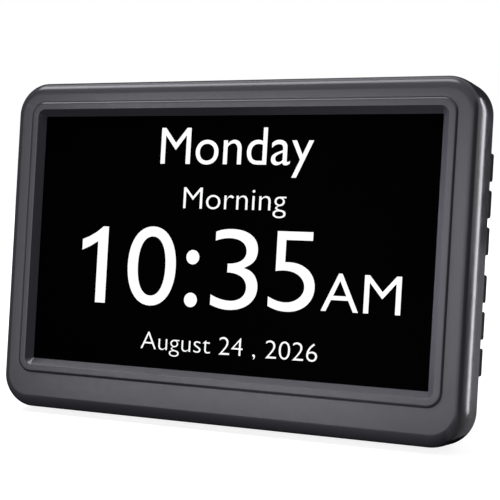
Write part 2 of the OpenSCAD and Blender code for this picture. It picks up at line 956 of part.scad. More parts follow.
// Solid blocks inside the cover that the bay, pockets, wells and posts are cut in.
module rear_blocks() {
    translate([-bay_w / 2 - bay_wall, bay_floor - bay_wall, 0])
        cube([bay_w + 2 * bay_wall, far, bay_top + bay_wall]);
    translate([-bay_w / 2 - ear_t, stop_floor - bay_wall, stop_low - bay_wall])
        cube([bay_w + 2 * ear_t, far, bay_top - stop_low + 2 * bay_wall]);
    for (s = [-1, 1])
        translate([
            s * keyhole_span / 2 - pocket_side - pocket_wall,
            back_in - pocket_d - pocket_wall,
            pocket_low - pocket_wall
        ])
            cube([
                2 * (pocket_side + pocket_wall), far, pocket_top - pocket_low + 2 * pocket_wall
            ]);
    for (x = screw_x)
        translate([x, joint_y, screw_z]) rod_y(well_r + well_wall, far);
    for (p = post_places)
        translate([p[0], board_rear, p[1]]) rod_y(post_r, back_in - board_rear + eps);
    // ring round the speaker
    translate([speaker_x, back_in - ring_h, speaker_z])
        difference() {
            rod_y(speaker_r + slip_gap + ring_wall, ring_h + eps);
            translate([0, -eps, 0]) rod_y(speaker_r + slip_gap, ring_h + 3 * eps);
        }
    // guides at the button board's ends
    for (s = [-1, 1])
        translate([
            strip_x - guide_side,
            button_mid_y - strip_w / 2 - 0.5,
            button_mid_z + (s > 0 ? strip_half - guide_len : -strip_half - guide_end)
        ])
            cube([strip_t + 2 * guide_side, far, guide_len + guide_end]);
}

module keyhole_cut(x) {
    translate([x, back_in - pocket_d, 0]) {
        translate([-pocket_side, 0, pocket_low])
            cube([2 * pocket_side, pocket_d + eps, pocket_top - pocket_low]);
        translate([0, 0, keyhole_z]) rod_y(keyhole_r, far);
        translate([-keyhole_slot / 2, 0, keyhole_z])
            cube([keyhole_slot, far, keyhole_lift]);
        translate([0, 0, keyhole_z + keyhole_lift]) rod_y(keyhole_slot / 2, far);
    }
}

module grille_cut() {
    reach = surround_r - 0.5;
    for (k = [-3:3]) {
        z = k * grille_pitch;
        half = sqrt(reach * reach - z * z);
        translate([speaker_x - half, back_in - eps, speaker_z + z - grille_slot / 2])
            cube([2 * half, far, grille_slot]);
    }
}

module vent_cut() {
    for (s = [-1, 1], k = [0:8])
        translate([
            s * (vent_in + vent_pitch * k) - vent_w / 2, back_in - eps, case_h - vent_drop
        ])
            cube([vent_w, far, vent_h]);
}

module rear_cuts() {
    // bay for the folded leg, open at the bottom, and the deeper part that its heel turns in
    translate([-bay_w / 2, bay_floor, -far]) cube([bay_w, far, far + bay_top]);
    translate([-bay_w / 2, stop_floor, stop_low]) cube([bay_w, far, bay_top - stop_low]);
    translate([-far / 2, hinge_y, hinge_z])
        intersection() {
            rod_x(pin_r + screw_gap, far);
            translate([far / 2 - bay_w / 2 - ear_t - eps, -5, -5])
                cube([bay_w + 2 * ear_t + 2 * eps, 10, 10]);
        }
    keyhole_cut(-keyhole_span / 2);
    keyhole_cut(keyhole_span / 2);
    for (x = screw_x) {
        translate([x, joint_y + well_floor, screw_z]) rod_y(well_r, far);
        translate([x, joint_y - eps, screw_z]) rod_y(screw_r + pass_gap, far);
    }
    for (p = post_places)
        translate([p[0], board_rear - eps, p[1]])
            rod_y(board_screw_r + screw_gap, board_bite + hole_spare);
    grille_cut();
    vent_cut();
    translate([label_x, case_d - label_sink, label_z]) cube([label_w, far, label_h]);
    translate([inlet_x, back_in - eps, inlet_z]) rod_y(nose_r + slip_gap, far);
    for (dz = button_offsets)
        translate([inner_x - eps, button_mid_y, button_mid_z + dz])
            button_bar(far, button_gap);
    translate([
        strip_x - slip_gap,
        button_mid_y - strip_w / 2 - far,
        button_mid_z - strip_half - slip_gap
    ])
        cube([strip_t + 2 * slip_gap, strip_w + slip_gap + far, 2 * (strip_half + slip_gap)]);
}

module rear_cover() {
    color(charcoal) leaned()
        difference() {
            intersection() {
                rear_outline();
                union() {
                    difference() {
                        rear_outline();
                        rear_hollow();
                    }
                    rear_blocks();
                }
            }
            rear_cuts();
        }
}

module rating_label() {
    color([0.75, 0.75, 0.76]) leaned()
        translate([label_x + label_gap, case_d - label_sink, label_z + label_gap])
            cube([label_w - 2 * label_gap, label_t, label_h - 2 * label_gap]);
}

module case_screws() {
    color([0.12, 0.12, 0.13]) leaned()
        for (x = screw_x)
            translate([x, joint_y + well_floor, screw_z])
                screw(screw_r, well_floor + screw_bite, screw_head_r, screw_head_t);
}

module rubber_feet() {
    color([0.08, 0.08, 0.08])
        intersection() {
            leaned()
                for (x = [-foot_pad_x, foot_pad_x])
                    translate([x - foot_pad_len / 2, pad_back - pad_depth, pad_sink - 6])
                        cube([foot_pad_len, pad_depth, 6]);
            translate([-far / 2, -far / 2, 0]) cube(far);
        }
}

// ---------------------------------------------------------------- leg

// Outline of the leg seen from behind, from the heel down to z = -low.
module leg_outline(low, inset = 0) {
    top = leg_w / 2 - inset;
    foot = foot_w / 2 - inset;
    polygon([
        [-top, heel_h], [top, heel_h], [top, -shoulder],
        [foot, -low], [-foot, -low], [-top, -shoulder]
    ]);
}

// Plate of that outline from y = y0 to y = y1.
module leg_plate(low, y0, y1, inset = 0) {
    translate([0, y1, 0])
        rotate([90, 0, 0])
            linear_extrude(y1 - y0) leg_outline(low, inset);
}

module kickstand() {
    color(charcoal)
        difference() {
            swung()
                difference() {
                    union() {
                        leg_plate(boot_top, -leg_in, leg_out);
                        leg_plate(core_end, boot_t - leg_in, leg_out - boot_t, boot_t);
                        translate([-leg_w / 2, 0, 0]) rod_x(leg_out, leg_w);
                    }
                    // hollows in the side that faces the case, with ribs left between them
                    for (k = [0:rib_count - 1])
                        translate([
                            rib_side - foot_w / 2,
                            -leg_in - eps,
                            -boot_top + 2 + k * rib_span
                        ])
                            cube([
                                foot_w - 2 * rib_side,
                                leg_t - leg_skin + eps,
                                rib_span - leg_skin
                            ]);
                    translate([-far / 2, 0, 0]) rod_x(pin_r + running_gap, far);
                }
            // the heel is cut to lie flat on the bay's floor, which stops the leg
            leaned()
                translate([-far / 2, stop_floor + stop_gap - far, 0]) cube([far, far, far]);
        }
}

module kickstand_pin() {
    color(steel) leaned()
        translate([-bay_w / 2 - ear_t, hinge_y, hinge_z])
            rod_x(pin_r, bay_w + 2 * ear_t);
}

module kickstand_boot() {
    color([0.07, 0.07, 0.07])
        intersection() {
            swung()
                difference() {
                    leg_plate(core_end + 6, -leg_in, leg_out);
                    translate([-far / 2, -far / 2, -boot_top]) cube(far);
                    leg_plate(core_end, boot_t - leg_in, leg_out - boot_t, boot_t);
                }
            translate([-far / 2, -far / 2, 0]) cube(far);
        }
}

// ---------------------------------------------------------------- nodes

front_bezel();
screen_gasket();
screen_glass();
light_guide();
screen_tray();
screen_ribbon();
screen_clips();
clip_screws();
main_board();
board_screws();
processor();
memory_chip();
capacitors();
inductor();
crystal();
board_sockets();
cell_holder();
coin_cell();
power_inlet();
inlet_contact();
button_board();
button_switches();
button_ribbon();
speaker_gasket();
speaker_basket();
speaker_cone();
speaker_magnet();
speaker_wires();
rear_cover();
rating_label();
case_screws();
rubber_feet();
kickstand();
kickstand_pin();
kickstand_boot();
button(0);  // button_1
button(1);  // button_2
button(2);  // button_3
button(3);  // button_4
button(4);  // button_5
button(5);  // button_6
plunger(0);  // plunger_1
plunger(1);  // plunger_2
plunger(2);  // plunger_3
plunger(3);  // plunger_4
plunger(4);  // plunger_5
plunger(5);  // plunger_6
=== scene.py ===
"""Looks of the day clock: camera, light, materials and the pieces that show."""

import math

import bmesh
import bpy
from mathutils import Matrix, Vector


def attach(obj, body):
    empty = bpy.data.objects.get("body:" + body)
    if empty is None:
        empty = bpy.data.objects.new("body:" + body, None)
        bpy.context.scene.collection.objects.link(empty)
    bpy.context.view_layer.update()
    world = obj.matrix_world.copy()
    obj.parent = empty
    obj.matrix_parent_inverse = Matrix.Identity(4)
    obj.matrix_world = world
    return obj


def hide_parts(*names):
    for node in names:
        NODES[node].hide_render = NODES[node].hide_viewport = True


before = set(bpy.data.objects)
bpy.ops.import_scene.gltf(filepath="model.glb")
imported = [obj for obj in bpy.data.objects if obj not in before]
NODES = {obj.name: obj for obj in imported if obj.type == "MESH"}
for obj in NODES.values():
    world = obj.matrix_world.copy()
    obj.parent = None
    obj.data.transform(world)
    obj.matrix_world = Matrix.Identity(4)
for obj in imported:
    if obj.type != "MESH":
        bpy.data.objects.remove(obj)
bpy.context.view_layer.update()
SCENE = bpy.context.scene
SCENE.view_settings.view_transform = "Standard"

# Sizes of the part, in millimetres. The case is described upright: x to the right, y from
# its face backwards, z up from its lower edge.
WINDOW_W = 152.6
WINDOW_H = 90.0
WINDOW_Z = 63.3  # middle of the window
CASE_W = 178.2
CASE_H = 121.0
BEZEL_D = 15.7
FACE_WALL = 2.2
SIDE_WALL = 2.5
CORNER_R = 12.0
SCREEN_Y = 2.5
BUTTON_Y = 18.0
BUTTON_Z = 60.5  # middle of the row
BUTTON_OFFSETS = (32.3, 20.1, 7.9, -7.9, -20.1, -32.3)
BUTTON_BACK = 83.55
BUTTON_TIP = 89.08

# The case leans back and stands on the table: from its own millimetres to the scene's metres.
LEAN = math.radians(7.77)
CASE_PLACE = (0, -29.69477, 2.32795)
CASE = Matrix.Scale(0.001, 4) @ Matrix.Translation(CASE_PLACE) @ Matrix.Rotation(-LEAN, 4, "X")


def axes_at(right, up, back, place):
    """Placement of a camera or lamp that looks against its back direction."""
    return Matrix(
        [
            (right.x, up.x, back.x, place[0]),
            (right.y, up.y, back.y, place[1]),
            (right.z, up.z, back.z, place[2]),
            (0, 0, 0, 1),
        ]
    )


# ---------------------------------------------------------------- camera

# The photograph's camera, solved from the lines of the case. Its focal length and upward
# shift are in pixels of the 500 pixel frame.
YAW = math.radians(24.96)
PITCH = math.radians(7.12)
CAMERA_PLACE = (0.194934, -0.416592, 0.101531)
FOCAL_PX = 1274
SHIFT_PX = 47.2
FRAME_PX = 500
SENSOR_MM = 36


def make_camera():
    right = Vector((math.cos(YAW), math.sin(YAW), 0))
    ahead = Vector(
        (-math.sin(YAW) * math.cos(PITCH), math.cos(YAW) * math.cos(PITCH), -math.sin(PITCH))
    )
    up = right.cross(ahead)
    data = bpy.data.cameras.new("camera")
    data.sensor_width = SENSOR_MM
    data.lens = SENSOR_MM * FOCAL_PX / FRAME_PX
    data.shift_y = SHIFT_PX / FRAME_PX
    data.clip_start = 0.01
    data.clip_end = 50
    camera = bpy.data.objects.new("camera", data)
    camera.matrix_world = axes_at(right, up, -ahead, CAMERA_PLACE)
    SCENE.collection.objects.link(camera)
    SCENE.camera = camera


make_camera()


# ---------------------------------------------------------------- materials


class Nodes:
    """A node tree, with short names for what the materials and the world share."""

    def __init__(self, tree):
        self.nodes = tree.nodes
        self.links = tree.links

    def feed(self, socket, value):
        """Links a node's output to a socket, or sets a plain value on it."""
        if isinstance(value, bpy.types.NodeSocket):
            self.links.new(value, socket)
        else:
            socket.default_value = value

    def node(self, kind, inputs=(), **settings):
        made = self.nodes.new(kind)
        for key, value in settings.items():
            setattr(made, key, value)
        for key, value in dict(inputs).items():
            self.feed(made.inputs[key], value)
        return made

    def math(self, operation, a, b):
        return self.node("ShaderNodeMath", {0: a, 1: b}, operation=operation).outputs[0]

    def spread(self, value, low, high, start=0.3, end=0.7):
        """Value that runs from low to high while another runs from start to end."""
        made = self.node(
            "ShaderNodeMapRange",
            {
                "Value": value,
                "From Min": start,
                "From Max": end,
                "To Min": low,
                "To Max": high,
            },
        )
        return made.outputs["Result"]

    def showing_rays(self):
        """1 for the rays that show a surface: to the camera, in gloss or through glass."""
        path = self.node("ShaderNodeLightPath").outputs
        shown = self.math("MAXIMUM", path["Is Camera Ray"], path["Is Glossy Ray"])
        return self.math("MAXIMUM", shown, path["Is Transmission Ray"])


class Shader(Nodes):
    """A new material. Its scales are per metre and its bump heights in metres."""

    def __init__(self, name):
        self.material = bpy.data.materials.new(name)
        self.material.use_nodes = True
        super().__init__(self.material.node_tree)
        self.main = self.nodes["Principled BSDF"]
        self.output = self.nodes["Material Output"]
        self.where = self.nodes.new("ShaderNodeTexCoord").outputs["Object"]

    def set(self, **values):
        for key, value in values.items():
            self.feed(self.main.inputs[key.replace("_", " ")], value)

    def noise(self, scale, detail=2.0, rough=0.5, vector=None):
        made = self.node(
            "ShaderNodeTexNoise",
            {
                "Vector": vector or self.where,
                "Scale": scale,
                "Detail": detail,
                "Roughness": rough,
            },
        )
        return made.outputs["Fac"]

    def cells(self, scale, randomness=1.0):
        """Distance from the middle of a cell."""
        inputs = {"Vector": self.where, "Scale": scale, "Randomness": randomness}
        return self.node("ShaderNodeTexVoronoi", inputs).outputs["Distance"]

    def mapped(self, **settings):
        """Place on the surface, stretched by a Scale or turned by a Rotation."""
        return self.node("ShaderNodeMapping", {"Vector": self.where, **settings}).outputs["Vector"]

    def bricks(self, inputs, offset):
        """Brick pattern on the case's upright faces."""
        upright = self.mapped(Rotation=(math.pi / 2, 0, 0))
        made = self.node("ShaderNodeTexBrick", {"Vector": upright, **inputs}, offset=offset)
        return made.outputs["Color"]

    def blend(self, factor, a, b):
        made = self.node("ShaderNodeMix", data_type="RGBA")
        # the inputs and the output that a colour mix uses
        self.feed(made.inputs[0], factor)
        self.feed(made.inputs[6], a)
        self.feed(made.inputs[7], b)
        return made.outputs[2]

    def worn_edges(self, scale=160):
        """How far handling has rubbed a place: patches along the outer edges."""
        edge = self.node("ShaderNodeNewGeometry").outputs["Pointiness"]
        patches = self.spread(self.noise(scale, 3, 0.6), 0.15, 1.0, 0.35, 0.65)
        return self.math("MULTIPLY", self.spread(edge, 0, 1, 0.51, 0.6), patches)

    def bump(self, height, distance):
        inputs = {"Height": height, "Distance": distance}
        return self.node("ShaderNodeBump", inputs).outputs["Normal"]


def rgb(r, g, b):
    """Linear colour of an sRGB one, given in steps of 255."""

    def linear(c):
        c /= 255
        return c / 12.92 if c <= 0.04045 else ((c + 0.055) / 1.055) ** 2.4

    return (linear(r), linear(g), linear(b), 1)


def shade(colour, factor):
    """Colour made darker or lighter by a factor."""
    return (colour[0] * factor, colour[1] * factor, colour[2] * factor, 1)


def moulded(name, colour, rough, grain=0.000012, specular=0.5):
    """Moulded plastic with a fine spark-eroded grain and faint flow marks."""
    s = Shader(name)
    flow = s.noise(26, 3)
    fine = s.noise(3800, 2, 0.6)
    mottle = s.noise(420, 2)
    tone = s.blend(s.spread(flow, 0, 1), shade(colour, 0.95), shade(colour, 1.05))
    tone = s.blend(s.spread(mottle, 0, 0.5, 0.35, 0.65), tone, shade(colour, 0.94))
    worn = s.worn_edges()
    gloss = s.spread(mottle, rough - 0.02, rough + 0.03)
    s.set(
        Base_Color=s.blend(worn, tone, shade(colour, 1.3)),
        Roughness=s.math("SUBTRACT", gloss, s.math("MULTIPLY", worn, 0.04)),
        Specular_IOR_Level=specular,
        Normal=s.bump(fine, grain),
    )
    return s.material


def metal(name, colour, rough):
    """Bare or plated metal with drawn lines and small stains."""
    s = Shader(name)
    stain = s.noise(260, 4)
    drawn = s.noise(900, 2, 0.5, s.mapped(Scale=(0.04, 1, 1)))
    tone = s.blend(s.spread(stain, 0, 1), colour, shade(colour, 0.86))
    s.set(
        Base_Color=s.blend(s.worn_edges(300), tone, shade(colour, 1.15)),
        Metallic=1.0,
        Roughness=s.spread(drawn, rough - 0.06, rough + 0.1),
        Normal=s.bump(drawn, 0.00001),
    )
    return s.material


def rubber(name, colour):
    """Matt rubber with a little dust on it."""
    s = Shader(name)
    dust = s.noise(700, 4, 0.7)
    fine = s.noise(5200, 2)
    tone = s.blend(s.spread(dust, 0, 1, 0.45, 0.75), colour, shade(colour, 1.7))
    s.set(
        Base_Color=s.blend(s.worn_edges(240), tone, shade(colour, 2.2)),
        Roughness=s.spread(dust, 0.68, 0.82),
        Specular_IOR_Level=0.3,
        Normal=s.bump(fine, 0.00002),
    )
    return s.material


def foam(name, colour):
    """Open-celled foam, and the pressed fibre of the speaker's cone."""
    s = Shader(name)
    cells = s.cells(2600)
    # Painted shade: the pit in the middle of each cell, where its bump is lowest, is painted
    # darker, and the cell walls between are lighter.
    s.set(
        Base_Color=s.blend(s.spread(cells, 0, 1, 0, 0.7), shade(colour, 0.6), shade(colour, 1.4)),
        Roughness=0.95,
        Specular_IOR_Level=0.15,
        Normal=s.bump(cells, 0.00012),
    )
    return s.material


def lacquered_board(name):
    """Solder mask with straight copper tracks under it and pale pads."""
    s = Shader(name)
    tracks = s.bricks(
        {
            "Color1": (1, 1, 1, 1),
            "Color2": (0.75, 0.75, 0.75, 1),
            "Mortar": (0, 0, 0, 1),
            "Scale": 160,
            "Mortar Size": 0.03,
            "Brick Width": 1.6,
            "Row Height": 0.22,
        },
        offset=0.37,
    )
    pads = s.cells(190, 0.6)
    masked = s.blend(tracks, rgb(6, 52, 30), rgb(14, 84, 46))
    is_pad = s.spread(pads, 1, 0, 0.12, 0.15)
    s.set(
        Base_Color=s.blend(is_pad, masked, rgb(196, 190, 172)),
        Roughness=0.32,
        Specular_IOR_Level=0.5,
        Normal=s.bump(tracks, 0.00003),
    )
    return s.material


def screen_black(name):
    """Switched-off part of the screen: black, behind a fine anti-glare coat."""
    s = Shader(name)
    coat = s.noise(5200, 3, 0.6)
    smear = s.noise(18, 4, 0.6)
    clean = (0.0002, 0.0002, 0.0003, 1)
    smeared = (0.0006, 0.0006, 0.0008, 1)
    s.set(
        Base_Color=s.blend(s.spread(smear, 0, 1), clean, smeared),
        Roughness=s.spread(smear, 0.2, 0.3),
        Specular_IOR_Level=0.001,
        Normal=s.bump(coat, 0.000003),
    )
    return s.material


def lit_segments(name):
    """White writing on the screen, made of lit pixels with thin dark gaps."""
    s = Shader(name)
    grid = s.bricks(
        {
            "Color1": (1, 1, 1, 1),
            "Color2": (0.985, 0.99, 1, 1),
            "Mortar": (0.86, 0.87, 0.9, 1),
            "Scale": 5200,
            "Mortar Size": 0.03,
            "Brick Width": 1.0,
            "Row Height": 1.0,
        },
        offset=0.0,
    )
    s.set(
        Base_Color=(0.02, 0.02, 0.02, 1),
        Emission_Color=grid,
        Emission_Strength=1.04,
        Specular_IOR_Level=0.0,
        Roughness=0.6,
    )
    return s.material


def acrylic(name):
    """Clear light guide with a grid of pale dots."""
    s = Shader(name)
    dots = s.cells(900, 0.0)
    s.set(
        Base_Color=s.blend(s.spread(dots, 1, 0, 0.2, 0.3), rgb(232, 234, 232), rgb(250, 250, 250)),
        Roughness=0.12,
        Transmission_Weight=0.35,
        IOR=1.49,
        Normal=s.bump(dots, 0.00002),
    )
    return s.material


def printed_label(name):
    """Bare silver label: brushed film with a slightly worn face."""
    s = Shader(name)
    brushed = s.noise(2600, 2, 0.5, s.mapped(Scale=(0.03, 1, 1)))
    worn = s.noise(90, 4)
    s.set(
        Base_Color=s.blend(s.spread(brushed, 0, 1), rgb(150, 151, 153), rgb(176, 177, 179)),
        Metallic=0.55,
        Roughness=s.spread(worn, 0.36, 0.5),
        Normal=s.bump(brushed, 0.000008),
    )
    return s.material


def ribbon_film(name):
    """Amber film with copper conductors in it."""
    s = Shader(name)
    stripes = s.node(
        "ShaderNodeTexWave",
        {"Vector": s.where, "Scale": 320, "Distortion": 0.0},
        bands_direction="X",
    ).outputs["Fac"]
    s.set(
        Base_Color=s.blend(s.spread(stripes, 0, 1, 0.4, 0.6), rgb(190, 104, 26), rgb(224, 150, 60)),
        Roughness=0.3,
        Normal=s.bump(stripes, 0.00002),
    )
    return s.material


CHARCOAL = rgb(60, 59, 63.5)

# Moulded: colour, roughness, height of the grain and level of the gloss.
FINISH = {
    "bezel": moulded("bezel_plastic", CHARCOAL, 0.18, 0.000005, 0.25),
    "cover": moulded("cover_plastic", shade(CHARCOAL, 1.1), 0.46, 0.00002, 0.45),
    "button": moulded("button_plastic", rgb(11, 11, 12), 0.3, 0.000006, 0.01),
    "screen": screen_black("screen_black"),
    "lit": lit_segments("lit_segments"),
    "acrylic": acrylic("acrylic"),
    "steel": metal("steel", rgb(196, 198, 200), 0.34),
    "black_screw": metal("black_screw", rgb(46, 46, 48), 0.42),
    "board": lacquered_board("circuit_board"),
    "chip": moulded("chip_epoxy", rgb(26, 26, 28), 0.5, 0.00003, 0.4),
    "can": metal("capacitor_can", rgb(184, 188, 194), 0.28),
    "socket": moulded("socket_nylon", rgb(222, 214, 194), 0.44, 0.00001),
    "black_nylon": moulded("black_nylon", rgb(24, 24, 26), 0.48, 0.00002),
    "ribbon": ribbon_film("ribbon_film"),
    "wire": moulded("wire_cover", rgb(168, 26, 20), 0.4, 0.00001),
    "foam": foam("foam", rgb(34, 34, 36)),
    "rubber": rubber("rubber", rgb(22, 22, 23)),
    "brass": metal("brass", rgb(206, 172, 98), 0.26),
    "cell": metal("cell_steel", rgb(206, 208, 212), 0.2),
    "cone": foam("speaker_cone", rgb(30, 30, 33)),
    "magnet": metal("magnet", rgb(92, 92, 96), 0.38),
    "label": printed_label("label_film"),
    "ferrite": moulded("ferrite", rgb(52, 52, 56), 0.62, 0.00004, 0.3),
    "plunger": moulded("plunger_plastic", rgb(200, 190, 170), 0.4, 0.00001),
}

# Finish of each CAD node that keeps its own mesh.
NODE_FINISH = {
    "screen_gasket": "foam",
    "screen_glass": "screen",
    "light_guide": "acrylic",
    "screen_tray": "steel",
    "screen_ribbon": "ribbon",
    "screen_clips": "steel",
    "clip_screws": "steel",
    "main_board": "board",
    "board_screws": "steel",
    "processor": "chip",
    "memory_chip": "chip",
    "capacitors": "can",
    "inductor": "ferrite",
    "crystal": "can",
    "board_sockets": "socket",
    "cell_holder": "black_nylon",
    "coin_cell": "cell",
    "power_inlet": "black_nylon",
    "inlet_contact": "brass",
    "button_board": "board",
    "button_switches": "black_nylon",
    "button_ribbon": "ribbon",
    "speaker_gasket": "foam",
    "speaker_basket": "steel",
    "speaker_cone": "cone",
    "speaker_magnet": "magnet",
    "speaker_wires": "wire",
    "rating_label": "label",
    "case_screws": "black_screw",
    "kickstand_pin": "steel",
    **{f"plunger_{k}": "plunger" for k in range(1, len(BUTTON_OFFSETS) + 1)},
}
for name, finish in NODE_FINISH.items():
    NODES[name].data.materials.clear()
    NODES[name].data.materials.append(FINISH[finish])


# ---------------------------------------------------------------- mesh tools


def piece(name, mesh, body, finish, slot, *replaced):
    """Adds a mesh as a piece that rides on a body and stands for CAD nodes."""
    made = bpy.data.objects.new(name, mesh)
    SCENE.collection.objects.link(made)
    mesh.materials.clear()
    mesh.materials.append(FINISH[finish])
    for face in mesh.polygons:
        face.use_smooth = True
    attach(made, body)
    if replaced:
        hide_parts(*replaced)
    return made


def even_normals(made):
    """Keeps flat faces flat beside rounded edges."""
    normals = made.modifiers.new("normals", "WEIGHTED_NORMAL")
    normals.weight = 100
    normals.keep_sharp = True


def loft(name, rings, closed=False):
    """Mesh through rings of equal length: closed on itself, or capped at both ends."""
    bm = bmesh.new()
    rows = [[bm.verts.new(CASE @ Vector(p)) for p in ring] for ring in rings]
    count = len(rows[0])
    last = len(rows) if closed else len(rows) - 1
    for i in range(last):
        a, b = rows[i], rows[(i + 1) % len(rows)]
        for k in range(count):
            bm.faces.new((a[k], a[(k + 1) % count], b[(k + 1) % count], b[k]))
    if not closed:
        bm.faces.new(rows[0])
        bm.faces.new(reversed(rows[-1]))
    bmesh.ops.recalc_face_normals(bm, faces=bm.faces)
    mesh = bpy.data.meshes.new(name)
    bm.to_mesh(mesh)
    bm.free()
    return mesh


def round_rect(half_a, half_b, corner, steps):
    """Corner points of a rounded rectangle about the origin, as (a, b) pairs."""
    points = []
    for quarter, (sa, sb) in enumerate(((1, 1), (-1, 1), (-1, -1), (1, -1))):
        for i in range(steps + 1):
            angle = math.pi / 2 * (quarter + i / steps)
            points.append(
                (
                    sa * (half_a - corner) + corner * math.cos(angle),
                    sb * (half_b - corner) + corner * math.sin(angle),
                )
            )
    return points


def degrees(start, end, steps):
    """Angles in even steps, given in degrees, as radians."""
    return [math.radians(start + (end - start) * i / steps) for i in range(steps + 1)]


# ---------------------------------------------------------------- bezel

# Bevel round the window and raised lip outside it, as distances outside the window's edge.
BEVEL_W = 2.4
WINDOW_CORNER = 0.4
INNER_R = 0.5  # round from the bevel to the lip's top
INNER_OUT = BEVEL_W + 0.207
LIP_RISE = 0.54
LIP_OUT = 4.265
LIP_R = 1.0
# The corners grow faster than the distance between the bevel and the lip's outer round.
BEVEL_CORNER = 2.8
CORNER_GROWTH = 1.25 / 1.65

# Profiles round the window, as distances outside its edge and depths behind the face.
WINDOW_EDGE = ((0, FACE_WALL), (0, 2.0), (0.03, 1.85), (0.11, 1.75))
LIP_GROOVE = (
    (5.15, 0.0), (5.17, 0.1), (5.21, 0.13), (5.27, 0.13), (5.31, 0.1), (5.34, 0.03), (5.38, 0.0),
)

# Rounded edges of the face: width and depth of the tight part, the angle where it ends, the
# radius and last angle of the wide part behind it, and how far the wall then widens.
SIDE_DEEP = 1.72
SIDE_EDGE = (2.55, SIDE_DEEP, math.radians(74), 28.0, math.radians(88.5), 0.12)
END_EDGE = (4.58, 3.5, math.radians(80), 12.0, math.radians(90), 0.02)

# Depths of the rings down the edge and the side wall, after those of the side's tight part.
WALL_DEPTHS = (
    1.6, 1.8, 2.0, 2.2, 2.45, 2.7, 3.0, 3.4, 3.8, 4.2, 4.6, 5.0, 5.4, 5.8, 6.2, 6.6,
    7.0, 7.5, 8.0, 8.5, 9.0, 12.0,
)
RIM_R = 0.12  # round at the seam
RING_STEPS = 20


def edge_inset(edge, y):
    """How far a rounded edge and the wall behind it lie inside the outline at a depth."""
    wide, deep, tight, radius, last, flare = edge
    turn = math.atan(wide / deep * math.tan(tight))
    reach = wide * math.sin(turn) + radius * (math.sin(last) - math.sin(tight))
    start = deep * (1 - math.cos(turn))
    end = start + radius * (math.cos(tight) - math.cos(last))
    if y <= start:
        return flare + reach - wide * math.sin(math.acos(1 - y / deep))
    if y <= end:
        angle = math.acos(math.cos(tight) - (y - start) / radius)
        return flare + radius * (math.sin(last) - math.sin(angle))
    return flare * (BEZEL_D - y) / (BEZEL_D - end)


def bezel_rings():
    rings = []

    def by_window(out, y):
        """Ring at a distance outside the window's edge."""
        if out <= BEVEL_W:
            corner = WINDOW_CORNER + out
        elif out <= LIP_OUT:
            corner = BEVEL_CORNER + (out - BEVEL_W) * CORNER_GROWTH
        else:
            corner = out
        points = round_rect(WINDOW_W / 2 + out, WINDOW_H / 2 + out, corner, RING_STEPS)
        rings.append([(a, y, WINDOW_Z + b) for a, b in points])

    def by_case(inset, y, inset_z=None):
        """Ring at a distance inside the case's outline."""
        inset_z = inset if inset_z is None else inset_z
        corner = CORNER_R - (inset + inset_z) / 2
        points = round_rect(CASE_W / 2 - inset, CASE_H / 2 - inset_z, corner, RING_STEPS)
        rings.append([(a, y, CASE_H / 2 + b) for a, b in points])

    for out, y in WINDOW_EDGE:
        by_window(out, y)
    # up the bevel and over the lip
    for a in degrees(45, 0, 6):
        by_window(INNER_OUT - INNER_R * math.sin(a), -LIP_RISE + INNER_R - INNER_R * math.cos(a))
    for a in degrees(0, 60, 10):
        by_window(LIP_OUT + LIP_R * math.sin(a), LIP_R - LIP_RISE - LIP_R * math.cos(a))
    for out, y in LIP_GROOVE:
        by_window(out, y)
    # the face, its rounded edge and the side wall, which widens towards the seam
    depths = [SIDE_DEEP * (1 - math.cos(a)) for a in degrees(0, 78, 18)]
    for y in (*depths, *WALL_DEPTHS, BEZEL_D - RIM_R):
        by_case(edge_inset(SIDE_EDGE, y), y, edge_inset(END_EDGE, y))
    # the rim at the seam, and the inside
    by_case(0.035, BEZEL_D - 0.035)
    by_case(RIM_R, BEZEL_D)
    by_case(SIDE_WALL - 0.2, BEZEL_D)
    by_case(SIDE_WALL, BEZEL_D - 0.2)
    by_case(SIDE_WALL, FACE_WALL)
    return rings


bezel = piece(
    "bezel_shell",
    loft("bezel_shell", bezel_rings(), closed=True),
    "case",
    "bezel",
    "bezel_plastic",
    "front_bezel",
)
even_normals(bezel)


# ---------------------------------------------------------------- buttons

# Half the cap's thickness and length, the round of its edge and the rise of its crown.
CAP_HALF_T = 1.8
CAP_HALF_L = 4.6
CAP_EDGE = 0.4
CAP_CROWN = 0.1
CROWN_INSET = 0.42
# Flange behind the wall, as distances from the back, growths over the cap and corners.
FLANGE = ((0, 0.7, 0.5), (0.1, 0.8, 0.6), (1.4, 0.8, 0.6), (1.5, 0.7, 0.5))
NECK = ((1.5, 0.15, 0.85), (1.65, 0, 0.7))


def button_rings(offset):
    """Rings of a cap from its flange to the middle of its crown."""
    rings = []

    def ring(x, grow, corner):
        points = round_rect(CAP_HALF_T + grow, CAP_HALF_L + grow, corner, 8)
        rings.append([(x, BUTTON_Y + a, BUTTON_Z + offset + b) for a, b in points])

    for x, grow, corner in FLANGE + NECK:
        ring(BUTTON_BACK + x, grow, corner)
    start = BUTTON_TIP - CAP_CROWN - CAP_EDGE
    for a in degrees(0, 75, 6):
        inset = CAP_EDGE * (1 - math.cos(a))
        ring(start + CAP_EDGE * math.sin(a), -inset, 0.7 - inset * 0.4)
    # low crown over the top
    for share in (0.75, 0.5, 0.25, 0.06):
        inner = (CAP_HALF_T - CROWN_INSET) * (1 - share)
        height = 1 - share * share
        ring(
            BUTTON_TIP - CAP_CROWN + CAP_CROWN * height - 0.012 * share,
            -CROWN_INSET - inner,
            max(0.03, 0.5 * share),
        )
    return rings


for k, offset in enumerate(BUTTON_OFFSETS, start=1):
    cap = piece(
        f"button_cap_{k}",
        loft(f"button_cap_{k}", button_rings(offset)),
        f"key_{k}",
        "button",
        "button_plastic",
        f"button_{k}",
    )
    even_normals(cap)


# ---------------------------------------------------------------- moulded copies

SAME_POINT = 2e-6
SAME_PLANE = math.radians(0.4)
SHARP = math.radians(32)


